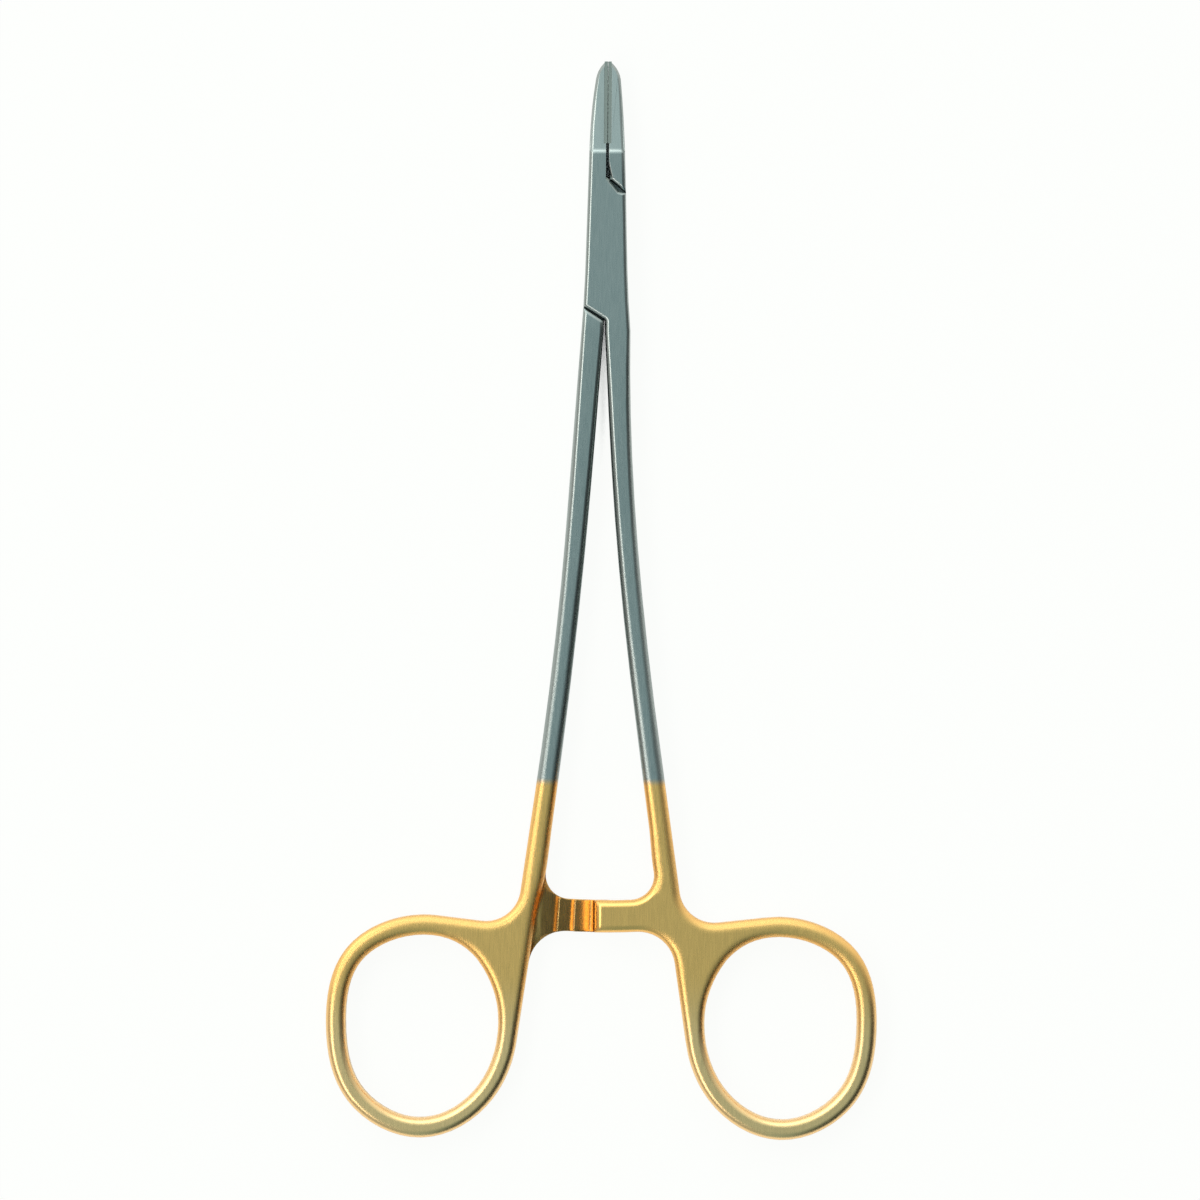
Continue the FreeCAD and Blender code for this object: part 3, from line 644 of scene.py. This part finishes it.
# The room from the left, over the top to the right, and from overhead to beyond the jaws
ROOM_ACROSS = ((0.0, "#adaaa6"), (0.3, "#aab6b8"), (0.5, "#95b4ba"), (0.7, "#3f4d50"), (1.0, "#272b2b"))
ROOM_BEYOND = ((0.02, "#000000"), (0.2, "#b5bcbc"), (0.75, "#f9ffff"))

# White that the paper shows, and the reach and openness of the shade that the metal mirrors in it
PAPER_GLOW = 0.95
SHADE_REACH, SHADE_OPENNESS = 12 * MM, (0.35, 1.0)

# Reach and openness at which the paper under a gap is dark and plain
GAP_REACH, GAP_OPENNESS = 3 * MM, (0.055, 0.11)

# The oval under the jaws: its middle, half sizes and fade
JAWS_OVAL = ((0.1 * MM, 15.4 * MM), (0.9 * MM, 7.2 * MM), (0.92, 1.0))


def gap_share(tree):
    """0 on the paper under a narrow gap in the instrument, rising to 1 where it lies open.

    It is 0 under the jaws too, which taper up from the paper and leave only a hair's gap.
    """
    place = add_node(tree, "ShaderNodeTexCoord").outputs["Object"]
    around = add_node(tree, "ShaderNodeAmbientOcclusion", {"samples": 8}, {"Distance": GAP_REACH})
    cleared = add_node(tree, "ShaderNodeMath", {"operation": "SUBTRACT"}, {
        0: around.outputs["AO"], 1: inside_oval(tree, place, *JAWS_OVAL),
    })
    share = add_node(tree, "ShaderNodeMapRange", {"interpolation_type": "SMOOTHSTEP"}, {
        "Value": cleared.outputs["Value"],
        "From Min": GAP_OPENNESS[0], "From Max": GAP_OPENNESS[1],
    })
    return share.outputs["Result"]


def matte_white(colour):
    """Matte white paper: it shows its own white, and takes the instrument's soft shadow.

    The metal mirrors that white too, with the shade that the instrument casts close round itself.
    """
    material, tree = new_material("Matte white paper")
    rays = add_node(tree, "ShaderNodeLightPath").outputs
    mirrored = add_node(tree, "ShaderNodeMath", {"operation": "MULTIPLY"}, {
        0: rays["Is Glossy Ray"], 1: openness(tree, SHADE_REACH, *SHADE_OPENNESS),
    })
    seen = add_node(tree, "ShaderNodeMath", {"operation": "MAXIMUM"}, {
        0: rays["Is Camera Ray"], 1: mirrored.outputs["Value"],
    })
    any_seen = add_node(tree, "ShaderNodeMath", {"operation": "MAXIMUM"}, {
        0: seen.outputs["Value"], 1: rays["Is Transmission Ray"],
    })
    shown = add_node(tree, "ShaderNodeMath", {"operation": "MULTIPLY"}, {
        0: any_seen.outputs["Value"], 1: PAPER_GLOW,
    })
    share = add_node(tree, "ShaderNodeMath", {"operation": "MULTIPLY"}, {
        0: shown.outputs["Value"], 1: gap_share(tree),
    })
    paper = add_node(tree, "ShaderNodeBsdfDiffuse", inputs={"Color": (*colour, 1.0)})
    glow = add_node(tree, "ShaderNodeEmission", inputs={"Color": (*colour, 1.0), "Strength": 1.0})
    blend = add_node(tree, "ShaderNodeMixShader", inputs={
        0: share.outputs["Value"], 1: paper.outputs["BSDF"], 2: glow.outputs["Emission"],
    })
    add_node(tree, "ShaderNodeOutputMaterial", inputs={"Surface": blend.outputs["Shader"]})
    return material


def studio_walls():
    """The room round the table: cool overhead, warm on the left, dark on the right, bright beyond."""
    world = bpy.data.worlds.new("Studio")
    world.use_nodes = True
    tree = world.node_tree
    tree.nodes.clear()
    direction = add_node(tree, "ShaderNodeTexCoord").outputs["Generated"]
    axes = add_node(tree, "ShaderNodeSeparateXYZ", inputs={"Vector": direction}).outputs
    across = add_node(tree, "ShaderNodeMapRange", inputs={
        "Value": axes["X"], "From Min": -1.0, "From Max": 1.0,
    })
    sides = add_node(tree, "ShaderNodeValToRGB", inputs={"Fac": across.outputs["Result"]})
    beyond = add_node(tree, "ShaderNodeValToRGB", inputs={"Fac": axes["Y"]})
    total = add_node(tree, "ShaderNodeMix", {"data_type": "RGBA", "blend_type": "ADD"}, {
        "Factor": 1.0,
        MIX_A: set_stops(sides, [(position, linear(code)) for position, code in ROOM_ACROSS]),
        MIX_B: set_stops(beyond, [(position, linear(code)) for position, code in ROOM_BEYOND]),
    })
    backdrop = add_node(tree, "ShaderNodeBackground", inputs={
        "Color": total.outputs[MIX_RESULT], "Strength": 1.0,
    })
    add_node(tree, "ShaderNodeOutputWorld", inputs={"Surface": backdrop.outputs["Background"]})
    bpy.context.scene.world = world


def softbox(name, power, place, size, hex_code):
    """A rectangular lamp that faces the instrument."""
    lamp = bpy.data.lights.new(name, "AREA")
    lamp.color = linear(hex_code)
    lamp.shape = "RECTANGLE"
    lamp.size, lamp.size_y = size
    lamp.energy = power
    item = bpy.data.objects.new(name, lamp)
    bpy.context.scene.collection.objects.link(item)
    item.location = AIM + Vector(place)
    item.rotation_euler = (-Vector(place)).to_track_quat("-Z", "Y").to_euler()


def add_camera(settings):
    """A long lens straight above, rolled as the photograph is."""
    camera = bpy.data.cameras.new("Camera")
    camera.sensor_width = SENSOR_WIDE
    camera.lens = SENSOR_WIDE * CAMERA_HEIGHT / settings.view_wide
    camera.clip_end = VIEW_END
    item = bpy.data.objects.new("Camera", camera)
    bpy.context.scene.collection.objects.link(item)
    item.location = AIM + Vector((0.0, 0.0, CAMERA_HEIGHT))
    item.rotation_euler = (0.0, 0.0, settings.view_roll)
    bpy.context.scene.camera = item


class NEEDLEHOLDER_OT_studio(Operator):
    """Set up the table, the lamps and the camera"""

    bl_idname = "needleholder.studio"
    bl_label = "Set Up Studio"

    def execute(self, context):
        settings = context.scene.needleholder_studio
        deselect_all()
        bpy.ops.mesh.primitive_plane_add(size=TABLE_WIDE, location=(0.0, AIM.y, 0.0))
        table = context.object
        table.name = "table"
        bpy.ops.object.transform_apply(location=True, rotation=True, scale=True)
        paint(table, matte_white(settings.table))
        studio_walls()
        softbox("Left lamp", settings.left_power, *LEFT_LAMP)
        softbox("Far lamp", settings.far_power, *FAR_LAMP)
        add_camera(settings)
        context.scene.view_settings.view_transform = "Standard"
        return {"FINISHED"}


OPERATORS = (
    NEEDLEHOLDER_OT_halves,
    NEEDLEHOLDER_OT_pin,
    NEEDLEHOLDER_OT_inserts,
    NEEDLEHOLDER_OT_studio,
)


class NEEDLEHOLDER_PT_panel(Panel):
    """Sizes, colours and steps of the needle holder"""

    bl_idname = "NEEDLEHOLDER_PT_panel"
    bl_label = "Needle Holder"
    bl_space_type = "VIEW_3D"
    bl_region_type = "UI"
    bl_category = "Needle Holder"

    def draw(self, context):
        layout = self.layout
        for group in (
            context.scene.needleholder_finish,
            context.scene.needleholder_insert,
            context.scene.needleholder_studio,
        ):
            box = layout.box()
            for name in group.bl_rna.properties.keys():
                if name not in {"rna_type", "name"}:
                    box.prop(group, name)
        for operator in OPERATORS:
            layout.operator(operator.bl_idname)


CLASSES = (FinishSettings, InsertSettings, StudioSettings) + OPERATORS + (NEEDLEHOLDER_PT_panel,)


def register():
    for item in CLASSES:
        bpy.utils.register_class(item)
    bpy.types.Scene.needleholder_finish = PointerProperty(type=FinishSettings)
    bpy.types.Scene.needleholder_insert = PointerProperty(type=InsertSettings)
    bpy.types.Scene.needleholder_studio = PointerProperty(type=StudioSettings)


def unregister():
    del bpy.types.Scene.needleholder_studio
    del bpy.types.Scene.needleholder_insert
    del bpy.types.Scene.needleholder_finish
    for item in reversed(CLASSES):
        bpy.utils.unregister_class(item)


def main():
    register()
    bpy.ops.needleholder.halves()
    bpy.ops.needleholder.pin()
    bpy.ops.needleholder.inserts()
    bpy.ops.needleholder.studio()


if __name__ == "__main__":
    main()
